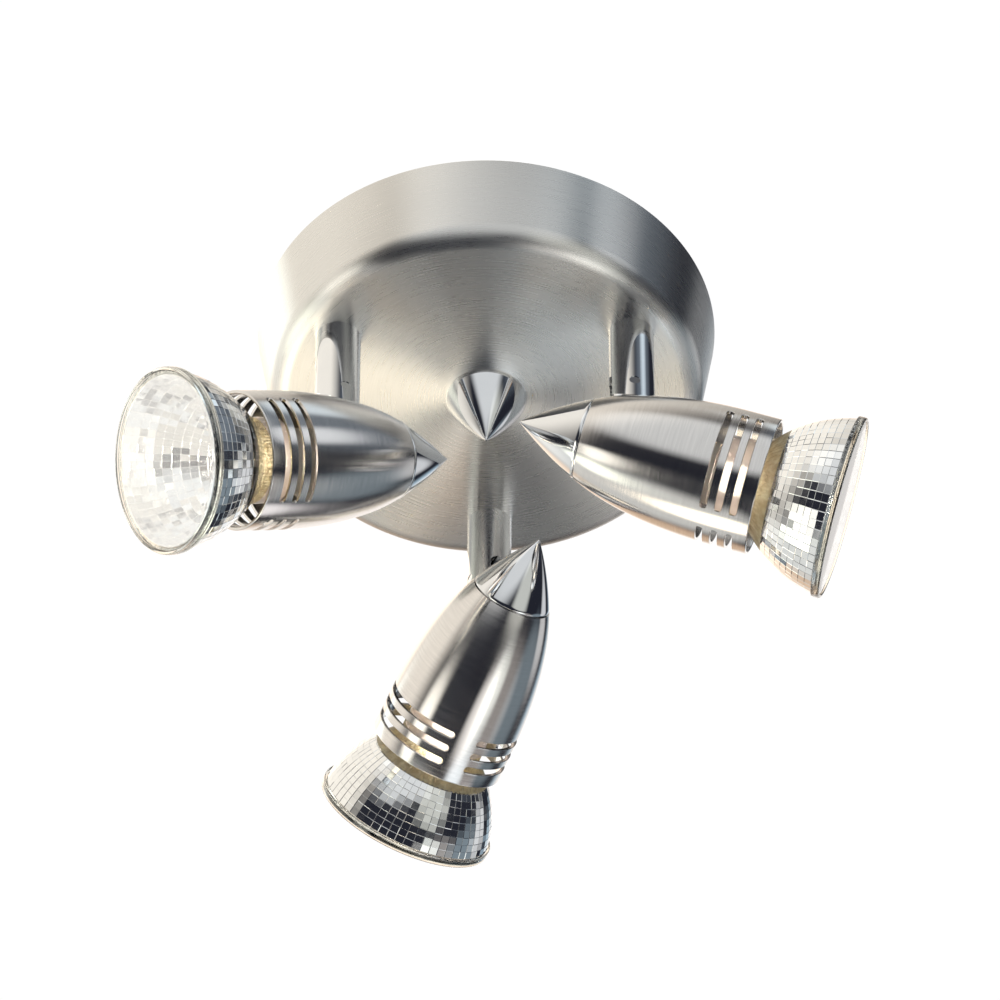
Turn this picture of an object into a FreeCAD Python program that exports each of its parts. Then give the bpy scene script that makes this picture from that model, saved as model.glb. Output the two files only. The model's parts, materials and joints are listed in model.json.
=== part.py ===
"""Round ceiling plate with three swivelling, tilting spot heads for twist-lock GU10 lamps.

Millimetres. The origin is the centre of the plate's back, on the ceiling; +Z points up into the
ceiling, so the whole fitting hangs on the -Z side. Each head has its own frame: X runs along the
barrel from the cone joint to the lamp, Z runs from the barrel's axis towards the tilt pivot.
"""
import FreeCAD, Part
import math
import os

V = FreeCAD.Vector
X_AXIS = V(1, 0, 0)
Y_AXIS = V(0, 1, 0)
Z_AXIS = V(0, 0, 1)

# Ceiling plate: a spun dish with a conical wall and a soft shoulder
PLATE_BACK_RADIUS = 64.0
PLATE_CORNER_RADIUS = 59.7
PLATE_DEPTH = 27.5
PLATE_THICKNESS = 1.0
SHOULDER_FILLET = 6.0

# Arms: three rods at 120 degrees, each ending in a full-round fork
ARM_PITCH_RADIUS = 46.7
ARM_RADIUS = 6.25
PIVOT_BELOW_FACE = 25.8
FORK_SLOT_WIDTH = 4.7
FORK_ARCH_BELOW_FACE = 19.6
FORK_WEB_X = 5.1
ARM_BORE_RADIUS = 2.6
SPIGOT_RADIUS = 4.95
SPIGOT_HOLE_RADIUS = 5.02
SPIGOT_LENGTH = 8.0
WASHER_THICKNESS = 0.8
WASHER_RADIUS = 8.0
SWIVEL_NUT_ACROSS_FLATS = 14.0
SWIVEL_NUT_THICKNESS = 4.0
PIVOT_PIN_RADIUS = 1.5
PIVOT_PIN_HALF_LENGTH = 6.05
FIT_CLEARANCE = 0.05

# Heads: place of the pivot in the head's frame, and each head's aim
PIVOT_X = 8.0
PIVOT_Z = 22.0
HEADS = {
    # name: (angle of the arm about the plate, heading of the lamp, tilt of the lamp below level)
    "left": (210.0, 205.8, 25.4),
    "right": (-30.0, 7.6, 15.2),
    "far": (90.0, 116.7, 18.9),
}

# Barrel: half an ellipse of revolution from the cone joint, then a straight mouth
BARREL_RADIUS = 19.0
BARREL_NOSE_LENGTH = 42.0
BARREL_ELLIPSE_LENGTH = 52.2
BARREL_LENGTH = 51.2
BARREL_WALL = 0.9
BARREL_END_X = 0.3
BARREL_END_WALL = 1.0
SLOT_X = (37.8, 42.0, 46.2)
SLOT_WIDTH = 2.0
SLOT_GROUPS = 3
SLOT_LAND_DEGREES = 20.5

# Cone caps and the matching finial
CONE_RADIUS = 11.2
CONE_LENGTH = 18.2
CONE_TIP_RADIUS = 0.4
CONE_STUD_RADIUS = 2.0
FINIAL_LENGTH = 17.0

# Knuckle: tongue, boss and foot that join the barrel to the fork
TONGUE_RADIUS = 4.2
TONGUE_Y = (-2.05, -0.45)
BOSS_END_Y = 2.05
KNUCKLE_BOSS_RADIUS = 2.6
WINDOW_HALF_LENGTH = 4.6
WINDOW_HALF_WIDTH = 2.25
FOOT_START_X = 5.8
FOOT_WIDE_X = 15.2
FOOT_END_X = 20.0
FOOT_HALF_WIDTH = 4.2
KNUCKLE_SCREW_X = 12.4
KNUCKLE_SCREW_Y = -2.3
KNUCKLE_SCREW_RADIUS = 1.25
KNUCKLE_SCREW_HEAD_RADIUS = 2.2

# Lamp: GU10, 50.7 mm across the rim and 55 mm long over the pins
LAMP_RIM_RADIUS = 25.35
LAMP_LENGTH = 55.0
LAMP_FRONT_X = 73.6
LAMP_RIM_WIDTH = 2.5
LAMP_GLASS = 1.3
FRONT_GLASS_THICKNESS = 1.2
PIN_SPACING = 10.0
PIN_HEAD_RADIUS = 2.5
PIN_NECK_RADIUS = 1.5
PIN_HEAD_LENGTH = 4.0
PIN_LENGTH = 7.4
TWIST_DEGREES = 20.0
LAMP_BASE_RADIUS = 8.6
LAMP_NECK_RADIUS = 11.6
LAMP_SEAT_X = LAMP_FRONT_X - LAMP_LENGTH + PIN_LENGTH
BASE_END_X = LAMP_SEAT_X + 11.0
NECK_END_X = LAMP_FRONT_X - 24.0
BOWL_END_X = LAMP_FRONT_X - LAMP_RIM_WIDTH
CAPSULE_RADIUS = 4.2
CAPSULE_STEM_RADIUS = 3.6
STEM_START_X = BASE_END_X - 4.0

# Lampholder and its bracket
HOLDER_RADIUS = 13.0
HOLDER_BACK_X = 15.6
HOLDER_FRONT_WALL = 3.0
HOLDER_STRIP = 1.2
HOLDER_LEG_Z = 9.7

# Ceiling bracket: a strap with two raised feet and a tab for the terminal block
STRAP_THICKNESS = 1.5
STRAP_HALF_WIDTH = 10.0
STRAP_DROP = 6.0
STRAP_MIDDLE_HALF = 22.0
FOOT_START = 27.0
FOOT_END = 56.0
CEILING_SLOT_X = 42.0
CEILING_SLOT_LENGTH = 18.0
CEILING_SLOT_RADIUS = 2.5
TAB_HALF_WIDTH = 22.0
TAB_END_Y = -37.0
CABLE_HOLE_X = -14.5
CABLE_HOLE_RADIUS = 5.0
BOLT_RADIUS = 3.0
BOLT_HEAD_ACROSS_FLATS = 10.0
BOLT_HEAD_HEIGHT = 4.0
BOLT_HOLE_RADIUS = 3.2

# Terminal block with three poles
POLE_PITCH = 8.0
BLOCK_START_Y = -34.0
BLOCK_END_Y = -20.0
BLOCK_HEIGHT = 12.0
BLOCK_TOP_Z = -STRAP_DROP - STRAP_THICKNESS
BLOCK_HOLE_Z = BLOCK_TOP_Z - 0.45 * BLOCK_HEIGHT
BLOCK_MIDDLE_Y = (BLOCK_START_Y + BLOCK_END_Y) / 2
BLOCK_SCREW_X = POLE_PITCH / 2
BLOCK_SCREW_RADIUS = 1.25
BLOCK_SCREW_HEAD_RADIUS = 2.0
BLOCK_SCREW_SEAT_Z = BLOCK_HOLE_Z - 1.9
POLES = (-POLE_PITCH, 0.0, POLE_PITCH)
INSERT_RADIUS = 2.6
INSERT_BORE_RADIUS = 2.0
CLAMP_Y = (BLOCK_START_Y + 3.5, BLOCK_END_Y - 3.5)
CLAMP_RADIUS = 1.4

# Earth screw on the bracket's tab, and the wiring
EARTH_X = 17.0
EARTH_Y = -27.0
EARTH_SCREW_RADIUS = 2.0
EARTH_HEAD_RADIUS = 3.5
WIRE_RADIUS = 0.6
CORE_OFFSET = 0.7
LEAD_Z = -10.5


def rod(radius, start, end):
    """A cylinder between two points."""
    along = end - start
    return Part.makeCylinder(radius, along.Length, start, along)


def block(low, high):
    """A box between two corners."""
    return Part.makeBox(high.x - low.x, high.y - low.y, high.z - low.z, low)


def hexagon(across_flats, height, base):
    """A hexagonal prism standing on a point."""
    corner = across_flats / math.sqrt(3)
    points = [
        V(corner * math.cos(math.radians(60 * i)), corner * math.sin(math.radians(60 * i)), 0)
        for i in range(7)
    ]
    prism = Part.Face(Part.makePolygon(points)).extrude(V(0, 0, height))
    prism.translate(base)
    return prism


def spin(edges, axis=X_AXIS):
    """A solid of revolution from a closed outline of edges."""
    face = Part.Face(Part.Wire(Part.__sortEdges__(edges)))
    return Part.makeSolid(face.revolve(V(0, 0, 0), axis, 360).Shells[0])


def line(start, end):
    """A straight edge between two points."""
    return Part.LineSegment(start, end).toShape()


def chain(points):
    """Straight edges through (x, radius) points."""
    places = [V(x, r, 0) for x, r in points]
    return [line(a, b) for a, b in zip(places, places[1:])]


def outline(points):
    """Straight edges through (x, radius) points, closed at the end."""
    return chain(points + points[:1])


def bow(start, middle, end):
    """A circular arc through three (x, radius) points."""
    return Part.Arc(V(*start, 0), V(*middle, 0), V(*end, 0)).toShape()


def blunt_end(end_x, radius, side):
    """A rounded end that faces one side: 60 degrees of arc, then a small flat down to the axis."""
    centre_x = end_x - side * radius * math.sin(math.radians(60))
    middle = (centre_x + side * radius / 2, radius * math.cos(math.radians(30)))
    arc_end = (end_x, radius / 2)
    return [bow((centre_x, radius), middle, arc_end)] + chain([arc_end, (end_x, 0)]), centre_x


def group(solids):
    """Several separate solids as one shape."""
    return Part.makeCompound(solids)


def arm_place(name):
    """The arm's frame: origin on the plate's face, X along the head's heading."""
    angle, heading = HEADS[name][:2]
    base = V(
        ARM_PITCH_RADIUS * math.cos(math.radians(angle)),
        ARM_PITCH_RADIUS * math.sin(math.radians(angle)),
        -PLATE_DEPTH,
    )
    return FreeCAD.Placement(base, FreeCAD.Rotation(Z_AXIS, heading))


def head_place(name):
    """The head's frame: the arm's frame, tilted about the pivot, then moved to the cone joint."""
    tilt = HEADS[name][2]
    to_pivot = FreeCAD.Placement(V(0, 0, -PIVOT_BELOW_FACE), FreeCAD.Rotation(Y_AXIS, tilt))
    to_joint = FreeCAD.Placement(V(-PIVOT_X, 0, -PIVOT_Z), FreeCAD.Rotation())
    return arm_place(name).multiply(to_pivot).multiply(to_joint)


def placed(shape, place):
    """A copy of a shape, moved from its own frame."""
    moved = shape.copy()
    moved.Placement = place.multiply(shape.Placement)
    return moved


def edges_at_z(shape, z, radius):
    """The circular edges of about one radius in one level plane."""
    found = []
    for edge in shape.Edges:
        box = edge.BoundBox
        if abs(box.ZMin - z) < 0.01 and abs(box.ZMax - z) < 0.01 and abs(box.XMax - radius) < 0.01:
            found.append(edge)
    return found


# ---------------------------------------------------------------- ceiling plate and what it holds


def ceiling_plate():
    """Spun dish, drilled for the centre bolt and the three arms' spigots."""
    inner_corner = PLATE_CORNER_RADIUS - PLATE_THICKNESS
    inner_depth = PLATE_DEPTH - PLATE_THICKNESS
    outer = Part.makeCone(PLATE_CORNER_RADIUS, PLATE_BACK_RADIUS, PLATE_DEPTH, V(0, 0, -PLATE_DEPTH))
    outer = outer.makeFillet(SHOULDER_FILLET, edges_at_z(outer, -PLATE_DEPTH, PLATE_CORNER_RADIUS))
    hollow = Part.makeCone(
        inner_corner, PLATE_BACK_RADIUS - PLATE_THICKNESS, inner_depth, V(0, 0, -inner_depth)
    )
    hollow = hollow.makeFillet(
        SHOULDER_FILLET - PLATE_THICKNESS, edges_at_z(hollow, -inner_depth, inner_corner)
    )
    plate = outer.cut(hollow)
    plate = plate.cut(rod(BOLT_HOLE_RADIUS, V(0, 0, -PLATE_DEPTH - 1), V(0, 0, -inner_depth + 1)))
    for name in HEADS:
        hole = rod(SPIGOT_HOLE_RADIUS, V(0, 0, -1), V(0, 0, PLATE_THICKNESS + 1))
        plate = plate.cut(placed(hole, arm_place(name)))
    return plate


def mounting_bracket():
    """A bent strap: feet against the ceiling, middle lowered, a tab for the terminal block."""
    low = -STRAP_DROP - STRAP_THICKNESS
    profile = [
        (-FOOT_END, 0), (-FOOT_START, 0), (-STRAP_MIDDLE_HALF, -STRAP_DROP),
        (STRAP_MIDDLE_HALF, -STRAP_DROP), (FOOT_START, 0), (FOOT_END, 0),
        (FOOT_END, -STRAP_THICKNESS), (FOOT_START + 0.7, -STRAP_THICKNESS),
        (STRAP_MIDDLE_HALF + 0.7, low), (-STRAP_MIDDLE_HALF - 0.7, low),
        (-FOOT_START - 0.7, -STRAP_THICKNESS), (-FOOT_END, -STRAP_THICKNESS),
    ]
    points = [V(x, -STRAP_HALF_WIDTH, z) for x, z in profile]
    strap = Part.Face(Part.makePolygon(points + points[:1])).extrude(V(0, 2 * STRAP_HALF_WIDTH, 0))
    tab = block(V(-TAB_HALF_WIDTH, TAB_END_Y, low), V(TAB_HALF_WIDTH, -STRAP_HALF_WIDTH, -STRAP_DROP))
    bracket = strap.fuse(tab).removeSplitter()
    half_slot = CEILING_SLOT_LENGTH / 2 - CEILING_SLOT_RADIUS
    for side in (-1, 1):
        centre = side * CEILING_SLOT_X
        slot = block(
            V(centre - half_slot, -CEILING_SLOT_RADIUS, -STRAP_THICKNESS - 1),
            V(centre + half_slot, CEILING_SLOT_RADIUS, 1),
        )
        for end in (centre - half_slot, centre + half_slot):
            slot = slot.fuse(rod(CEILING_SLOT_RADIUS, V(end, 0, -STRAP_THICKNESS - 1), V(end, 0, 1)))
        bracket = bracket.cut(slot.removeSplitter())
    for x, y, radius in (
        (0, 0, BOLT_HOLE_RADIUS),
        (CABLE_HOLE_X, 0, CABLE_HOLE_RADIUS),
        (EARTH_X, EARTH_Y, EARTH_SCREW_RADIUS + FIT_CLEARANCE),
        (BLOCK_SCREW_X, BLOCK_MIDDLE_Y, BLOCK_SCREW_RADIUS + FIT_CLEARANCE),
    ):
        bracket = bracket.cut(rod(radius, V(x, y, low - 1), V(x, y, 1)))
    return bracket


def centre_bolt():
    """Hexagon-headed bolt hanging through the bracket down into the finial."""
    tip = -PLATE_DEPTH - 11.0
    head = hexagon(BOLT_HEAD_ACROSS_FLATS, BOLT_HEAD_HEIGHT, V(0, 0, -STRAP_DROP))
    return head.fuse(rod(BOLT_RADIUS, V(0, 0, -STRAP_DROP), V(0, 0, tip))).removeSplitter()


def centre_nut():
    """Locks the bolt under the bracket."""
    height = 5.0
    base = V(0, 0, -STRAP_DROP - STRAP_THICKNESS - height)
    nut = hexagon(BOLT_HEAD_ACROSS_FLATS, height, base)
    return nut.cut(rod(BOLT_RADIUS + FIT_CLEARANCE, base - V(0, 0, 1), base + V(0, 0, height + 1)))


def ogive(length, radius):
    """A pointed cone with a slightly convex flank, base on x = 0, tip along -X."""
    shoulder = (-0.02 * length, radius)
    tip, tip_x = blunt_end(-length, CONE_TIP_RADIUS, -1)
    flank = bow(shoulder, (-0.5 * length, 0.575 * radius), (tip_x, CONE_TIP_RADIUS))
    return spin(chain([(-length, 0), (0, 0), (0, radius), shoulder]) + [flank] + tip)


def finial_cone():
    """Pointed cap nut that holds the plate up on the centre bolt."""
    cone = ogive(FINIAL_LENGTH, CONE_RADIUS)
    cone = cone.cut(rod(BOLT_RADIUS + FIT_CLEARANCE, V(-11.5, 0, 0), V(1, 0, 0)))
    return placed(cone, FreeCAD.Placement(V(0, 0, -PLATE_DEPTH), FreeCAD.Rotation(Y_AXIS, -90)))


def swivel_washers():
    """One washer per arm, inside the plate, that the swivel nut slides on."""
    washers = []
    for name in HEADS:
        washer = rod(WASHER_RADIUS, V(0, 0, PLATE_THICKNESS), V(0, 0, PLATE_THICKNESS + WASHER_THICKNESS))
        washer = washer.cut(rod(SPIGOT_HOLE_RADIUS, V(0, 0, 0), V(0, 0, PLATE_THICKNESS + 2)))
        washers.append(placed(washer, arm_place(name)))
    return group(washers)


def terminal_block():
    """Three moulded barrels joined by thin webs, hung under the bracket's tab."""
    low = BLOCK_TOP_Z - BLOCK_HEIGHT
    body = block(
        V(-POLE_PITCH - 1, BLOCK_START_Y + 1, BLOCK_HOLE_Z - 2.2),
        V(POLE_PITCH + 1, BLOCK_END_Y - 1, BLOCK_TOP_Z),
    )
    for x in POLES:
        body = body.fuse(
            block(V(x - 3.4, BLOCK_START_Y, BLOCK_HOLE_Z - 3.4), V(x + 3.4, BLOCK_END_Y, BLOCK_TOP_Z - 1))
        )
        for y in CLAMP_Y:
            body = body.fuse(rod(2.6, V(x, y, low), V(x, y, BLOCK_HOLE_Z)))
    for x in POLES:
        mouth = V(x, BLOCK_START_Y - 1, BLOCK_HOLE_Z)
        body = body.cut(rod(INSERT_RADIUS, mouth, V(x, BLOCK_END_Y + 1, BLOCK_HOLE_Z)))
        for y in CLAMP_Y:
            body = body.cut(rod(CLAMP_RADIUS + FIT_CLEARANCE, V(x, y, low - 1), V(x, y, BLOCK_HOLE_Z)))
    hole = V(BLOCK_SCREW_X, BLOCK_MIDDLE_Y, low - 1)
    seat = V(hole.x, hole.y, BLOCK_SCREW_SEAT_Z)
    body = body.cut(rod(BLOCK_SCREW_RADIUS + FIT_CLEARANCE, hole, hole + V(0, 0, BLOCK_HEIGHT + 2)))
    body = body.cut(rod(BLOCK_SCREW_HEAD_RADIUS + 0.1, hole, seat))
    return body.removeSplitter()


def terminal_inserts():
    """A brass tube in each pole, drilled for its two clamp screws."""
    inserts = []
    for x in POLES:
        tube = rod(INSERT_RADIUS, V(x, BLOCK_START_Y + 1, BLOCK_HOLE_Z), V(x, BLOCK_END_Y - 1, BLOCK_HOLE_Z))
        bore = rod(
            INSERT_BORE_RADIUS, V(x, BLOCK_START_Y, BLOCK_HOLE_Z), V(x, BLOCK_END_Y, BLOCK_HOLE_Z)
        )
        tube = tube.cut(bore)
        for y in CLAMP_Y:
            tube = tube.cut(rod(CLAMP_RADIUS + FIT_CLEARANCE, V(x, y, -30), V(x, y, BLOCK_HOLE_Z)))
        inserts.append(tube)
    return group(inserts)


def slotted(screw, centre, radius):
    """Cuts a driver slot across the lower end face of a screw."""
    return screw.cut(block(centre + V(-radius - 1, -0.3, 0), centre + V(radius + 1, 0.3, 0.6)))


def terminal_screws():
    """Two clamp screws per pole, worked from below."""
    screws = []
    for x in POLES:
        for y in CLAMP_Y:
            foot = V(x, y, BLOCK_TOP_Z - BLOCK_HEIGHT + 0.8)
            screw = rod(CLAMP_RADIUS, foot, V(x, y, BLOCK_HOLE_Z - 1.7))
            screws.append(slotted(screw, foot, CLAMP_RADIUS))
    return group(screws)


def block_screw():
    """Pan-headed screw that holds the terminal block to the bracket's tab."""
    seat = V(BLOCK_SCREW_X, BLOCK_MIDDLE_Y, BLOCK_SCREW_SEAT_Z)
    head = rod(BLOCK_SCREW_HEAD_RADIUS, seat - V(0, 0, 1.4), seat)
    shank = rod(BLOCK_SCREW_RADIUS, seat, V(seat.x, seat.y, -STRAP_DROP + 1.5))
    return slotted(head.fuse(shank), seat - V(0, 0, 1.4), BLOCK_SCREW_HEAD_RADIUS)


def earth_tag():
    """Ring terminal under the earth screw, with a crimp barrel for the lead."""
    ring = rod(EARTH_HEAD_RADIUS, V(EARTH_X, EARTH_Y, BLOCK_TOP_Z - 0.8), V(EARTH_X, EARTH_Y, BLOCK_TOP_Z))
    crimp_z = BLOCK_TOP_Z - 1.35
    start = V(EARTH_X, EARTH_Y - EARTH_HEAD_RADIUS - 1.0, crimp_z)
    end = V(EARTH_X, EARTH_Y - EARTH_HEAD_RADIUS - 5.0, crimp_z)
    neck = block(
        V(EARTH_X - 1.2, start.y - 1, BLOCK_TOP_Z - 0.8), V(EARTH_X + 1.2, EARTH_Y, BLOCK_TOP_Z)
    )
    tag = ring.fuse(neck).fuse(rod(1.25, start, end))
    tag = tag.cut(rod(EARTH_SCREW_RADIUS + FIT_CLEARANCE, V(EARTH_X, EARTH_Y, -12), V(EARTH_X, EARTH_Y, 0)))
    tag = tag.cut(rod(WIRE_RADIUS + 0.02, start + V(0, -0.8, 0), end + V(0, -1, 0)))
    return tag.removeSplitter()


def earth_screw():
    """Pan-headed screw that clamps the earth tag to the bracket."""
    seat = V(EARTH_X, EARTH_Y, BLOCK_TOP_Z - 0.8)
    head = rod(EARTH_HEAD_RADIUS, seat - V(0, 0, 2.2), seat)
    screw = head.fuse(rod(EARTH_SCREW_RADIUS, seat, V(EARTH_X, EARTH_Y, -STRAP_DROP + 2.5)))
    return slotted(screw, seat - V(0, 0, 2.2), EARTH_HEAD_RADIUS)


# ---------------------------------------------------------------- wiring


def wire(points, radius=WIRE_RADIUS):
    """A round lead: straight runs joined by tangent arcs, each as large as its two runs allow."""
    edges = []
    start = points[0]
    for before, corner, after in zip(points, points[1:], points[2:]):
        back = (before - corner).normalize()
        ahead = (after - corner).normalize()
        turn = math.pi - back.getAngle(ahead)
        shorter = min((before - corner).Length, (after - corner).Length)
        bend = 0.45 * shorter / math.tan(turn / 2)
        middle = (back + ahead).normalize() * (bend / math.cos(turn / 2) - bend)
        entry = corner + back * (0.45 * shorter)
        leave = corner + ahead * (0.45 * shorter)
        edges.append(line(start, entry))
        edges.append(Part.Arc(entry, corner + middle, leave).toShape())
        print("lead bend radius %.1f mm" % bend)
        start = leave
    edges.append(line(start, points[-1]))
    path = Part.Wire(edges)
    along = points[1] - points[0]
    ring = Part.Wire(Part.Circle(points[0], along, radius).toShape())
    lead = path.makePipeShell([ring], True, False)
    print("lead volume / section x length %.4f" % (lead.Volume / (math.pi * radius**2 * path.Length)))
    return lead


def bundle_start(pole_x, index):
    """Where one of three leads starts inside a terminal's bore."""
    angle = math.radians(90 + 120 * index)
    reach = 1.2 * WIRE_RADIUS
    return V(pole_x + reach * math.cos(angle), BLOCK_END_Y - 3, BLOCK_HOLE_Z + reach * math.sin(angle))


def down_the_arm(name, side, from_x, from_y):
    """The last two points of a lead: over the arm, then down its bore beside the other core."""
    top = arm_place(name).Base
    across = V(top.x - from_x, top.y - from_y, 0).normalize().cross(Z_AXIS) * (side * CORE_OFFSET)
    over = V(top.x, top.y, LEAD_Z) + across
    end_z = -PLATE_DEPTH - FORK_ARCH_BELOW_FACE + 0.4
    return [over, V(over.x, over.y, end_z)]


def leads(side):
    """The three leads of one pole: side +1 is live, -1 is neutral, its mirror image."""
    pole = side * POLE_PITCH
    near, opposite = ("right", "left") if side > 0 else ("left", "right")
    near_route = [
        bundle_start(pole, 2 if side > 0 else 1),
        V(side * 10.5, -12.5, -11.5),
        V(side * 26, -11, LEAD_Z),
    ]
    # the lead to the opposite arm passes below the other pole's leads
    low = -15.2 if side > 0 else -18.0
    cross_route = [
        bundle_start(pole, 1 if side > 0 else 2),
        V(side * 6.5, -14.5, low + 0.7),
        V(-side * 9, -10.5, low),
        V(-side * 25, -7.5, LEAD_Z - 2.5),
    ]
    far_route = [
        bundle_start(pole, 0),
        V(side * 11, -9, -12),
        V(side * 14, 8, -11.5),
        V(side * 10, 28, LEAD_Z),
    ]
    routes = ((near, near_route), (opposite, cross_route), ("far", far_route))
    solids = []
    for name, route in routes:
        last = route[-1]
        solids.append(wire(route + down_the_arm(name, side, last.x, last.y)))
    return group(solids)


def earth_lead():
    """From the earth pole round to the ring terminal."""
    crimp_y = EARTH_Y - EARTH_HEAD_RADIUS - 2.2
    return wire([
        V(0, BLOCK_START_Y + 3, BLOCK_HOLE_Z),
        V(0, BLOCK_START_Y - 8, BLOCK_HOLE_Z),
        V(9, BLOCK_START_Y - 14, BLOCK_HOLE_Z + 1.5),
        V(EARTH_X, BLOCK_START_Y - 10, BLOCK_TOP_Z - 1.35),
        V(EARTH_X, crimp_y, BLOCK_TOP_Z - 1.35),
    ])


def head_leads():
    """Both cores inside the head, from beside the knuckle to the back of the lampholder."""
    entry_x = PIVOT_X - KNUCKLE_BOSS_RADIUS - WIRE_RADIUS - 0.25
    entry_z = PIVOT_Z - 4.8
    cores = []
    for y, side in ((0.25, -1), (1.55, 1)):
        cores.append(wire([
            V(entry_x, y, entry_z),
            V(entry_x, y, 4.5),
            V(HOLDER_BACK_X + 1.0, side * 3.5, 1.0),
        ]))
    return group(cores)


# ---------------------------------------------------------------- arms, in the arm's frame


def arm_post():
    """Rod with a threaded spigot above and a full-round fork below, bored for the leads."""
    end = PIVOT_BELOW_FACE + ARM_RADIUS
    post = rod(ARM_RADIUS, V(0, 0, -end), V(0, 0, 0))
    pivot = V(0, -ARM_RADIUS - 1, -PIVOT_BELOW_FACE)
    full_round = block(V(-ARM_RADIUS - 1, pivot.y, -PIVOT_BELOW_FACE), V(ARM_RADIUS + 1, -pivot.y, 1))
    full_round = full_round.fuse(rod(ARM_RADIUS, pivot, V(0, -pivot.y, pivot.z)))
    post = post.common(full_round)
    half = FORK_SLOT_WIDTH / 2
    arch = V(-ARM_RADIUS - 1, 0, -FORK_ARCH_BELOW_FACE - half)
    slot = rod(half, arch, V(FORK_WEB_X, 0, arch.z))
    slot = slot.fuse(block(V(arch.x, -half, -end - 1), V(FORK_WEB_X, half, arch.z)))
    post = post.cut(slot)
    post = post.fuse(rod(SPIGOT_RADIUS, V(0, 0, 0), V(0, 0, SPIGOT_LENGTH)))
    post = post.cut(rod(ARM_BORE_RADIUS, V(0, 0, arch.z), V(0, 0, SPIGOT_LENGTH + 1)))
    pin_hole = rod(PIVOT_PIN_RADIUS + 0.01, pivot, V(0, -pivot.y, pivot.z))
    return post.cut(pin_hole).removeSplitter()


def swivel_nut():
    """Nut on the arm's spigot that keeps the arm on the plate but lets it turn."""
    base_z = PLATE_THICKNESS + WASHER_THICKNESS
    nut = hexagon(SWIVEL_NUT_ACROSS_FLATS, SWIVEL_NUT_THICKNESS, V(0, 0, base_z))
    return nut.cut(rod(SPIGOT_RADIUS + 0.02, V(0, 0, 0), V(0, 0, SPIGOT_LENGTH + 5)))


def pivot_pin():
    """Flush pin through the fork, which the knuckle tilts on."""
    z = -PIVOT_BELOW_FACE
    return rod(PIVOT_PIN_RADIUS, V(0, -PIVOT_PIN_HALF_LENGTH, z), V(0, PIVOT_PIN_HALF_LENGTH, z))


# ---------------------------------------------------------------- heads, in the head's frame


def nose_arc(start_x, inset):
    """The barrel's elliptical nose, drawn in by an inset, from one x to the mouth's start."""
    ellipse = Part.Ellipse(
        V(BARREL_NOSE_LENGTH, 0, 0), BARREL_ELLIPSE_LENGTH - inset, BARREL_RADIUS - inset
    )
    start_angle = math.acos((start_x - BARREL_NOSE_LENGTH) / ellipse.MajorRadius)
    return Part.ArcOfEllipse(ellipse, math.pi / 2, start_angle)


def bullet(start_x, end_x, inset):
    """The barrel's outer form, or its cavity when inset, between two x."""
    arc = nose_arc(start_x, inset)
    nose = arc.EndPoint
    edges = chain([
        (nose.x, nose.y), (start_x, 0), (end_x, 0),
        (end_x, BARREL_RADIUS - inset), (BARREL_NOSE_LENGTH, BARREL_RADIUS - inset),
    ])
    return spin(edges + [arc.toShape()])


def barrel_cavity(gap=0.0):
    """The space inside the barrel, shrunk by a gap."""
    return bullet(BARREL_END_X + BARREL_END_WALL + gap, BARREL_LENGTH + 1, BARREL_WALL + gap)


def vent_slot(x, middle_degrees):
    """Cutter for one slot round part of the mouth, with round ends."""
    half = SLOT_WIDTH / 2
    half_turn = (360 / SLOT_GROUPS - SLOT_LAND_DEGREES) / 2
    round_end = math.degrees(half / BARREL_RADIUS)
    inner, outer = BARREL_RADIUS - 3, BARREL_RADIUS + 2
    section = Part.makePolygon([
        V(x - half, 0, inner), V(x - half, 0, outer), V(x + half, 0, outer),
        V(x + half, 0, inner), V(x - half, 0, inner),
    ])
    sweep = 2 * (half_turn - round_end)
    cutter = Part.Face(section).revolve(V(0, 0, 0), X_AXIS, sweep)
    cutter.rotate(V(0, 0, 0), X_AXIS, -sweep / 2)
    for end in (-1, 1):
        cap = rod(half, V(x, 0, inner), V(x, 0, outer))
        cap.rotate(V(0, 0, 0), X_AXIS, end * sweep / 2)
        cutter = cutter.fuse(cap)
    cutter.rotate(V(0, 0, 0), X_AXIS, middle_degrees)
    return cutter


def barrel():
    """Thin bullet-shaped shell: closed at the cone, open at the lamp, with three groups of slots."""
    shell = bullet(BARREL_END_X, BARREL_LENGTH, 0).cut(barrel_cavity())
    shell = shell.cut(rod(CONE_STUD_RADIUS + FIT_CLEARANCE, V(-1, 0, 0), V(3, 0, 0)))
    shell = shell.cut(
        block(
            V(PIVOT_X - WINDOW_HALF_LENGTH, -WINDOW_HALF_WIDTH, 9),
            V(PIVOT_X + WINDOW_HALF_LENGTH, WINDOW_HALF_WIDTH, BARREL_RADIUS),
        )
    )
    for x in SLOT_X:
        for i in range(SLOT_GROUPS):
            shell = shell.cut(vent_slot(x, 360 / SLOT_GROUPS * i))
    return shell


def cone_cap():
    """Pointed cap with a threaded stud; a shallow neck leaves a dark line at the joint."""
    cone = ogive(CONE_LENGTH, CONE_RADIUS)
    neck = rod(CONE_RADIUS - 0.9, V(0, 0, 0), V(BARREL_END_X, 0, 0))
    return cone.fuse(neck).fuse(rod(CONE_STUD_RADIUS, V(0, 0, 0), V(5, 0, 0))).removeSplitter()


def window_side(start_x, low_z, high_z):
    """The part of the knuckle's foot, or of the leg under it, that keeps clear of the leads."""
    narrow = block(V(start_x, -FOOT_HALF_WIDTH, low_z), V(FOOT_END_X, TONGUE_Y[1], high_z))
    return narrow.fuse(
        block(V(FOOT_WIDE_X, -FOOT_HALF_WIDTH, low_z), V(FOOT_END_X, FOOT_HALF_WIDTH, high_z))
    )


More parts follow.
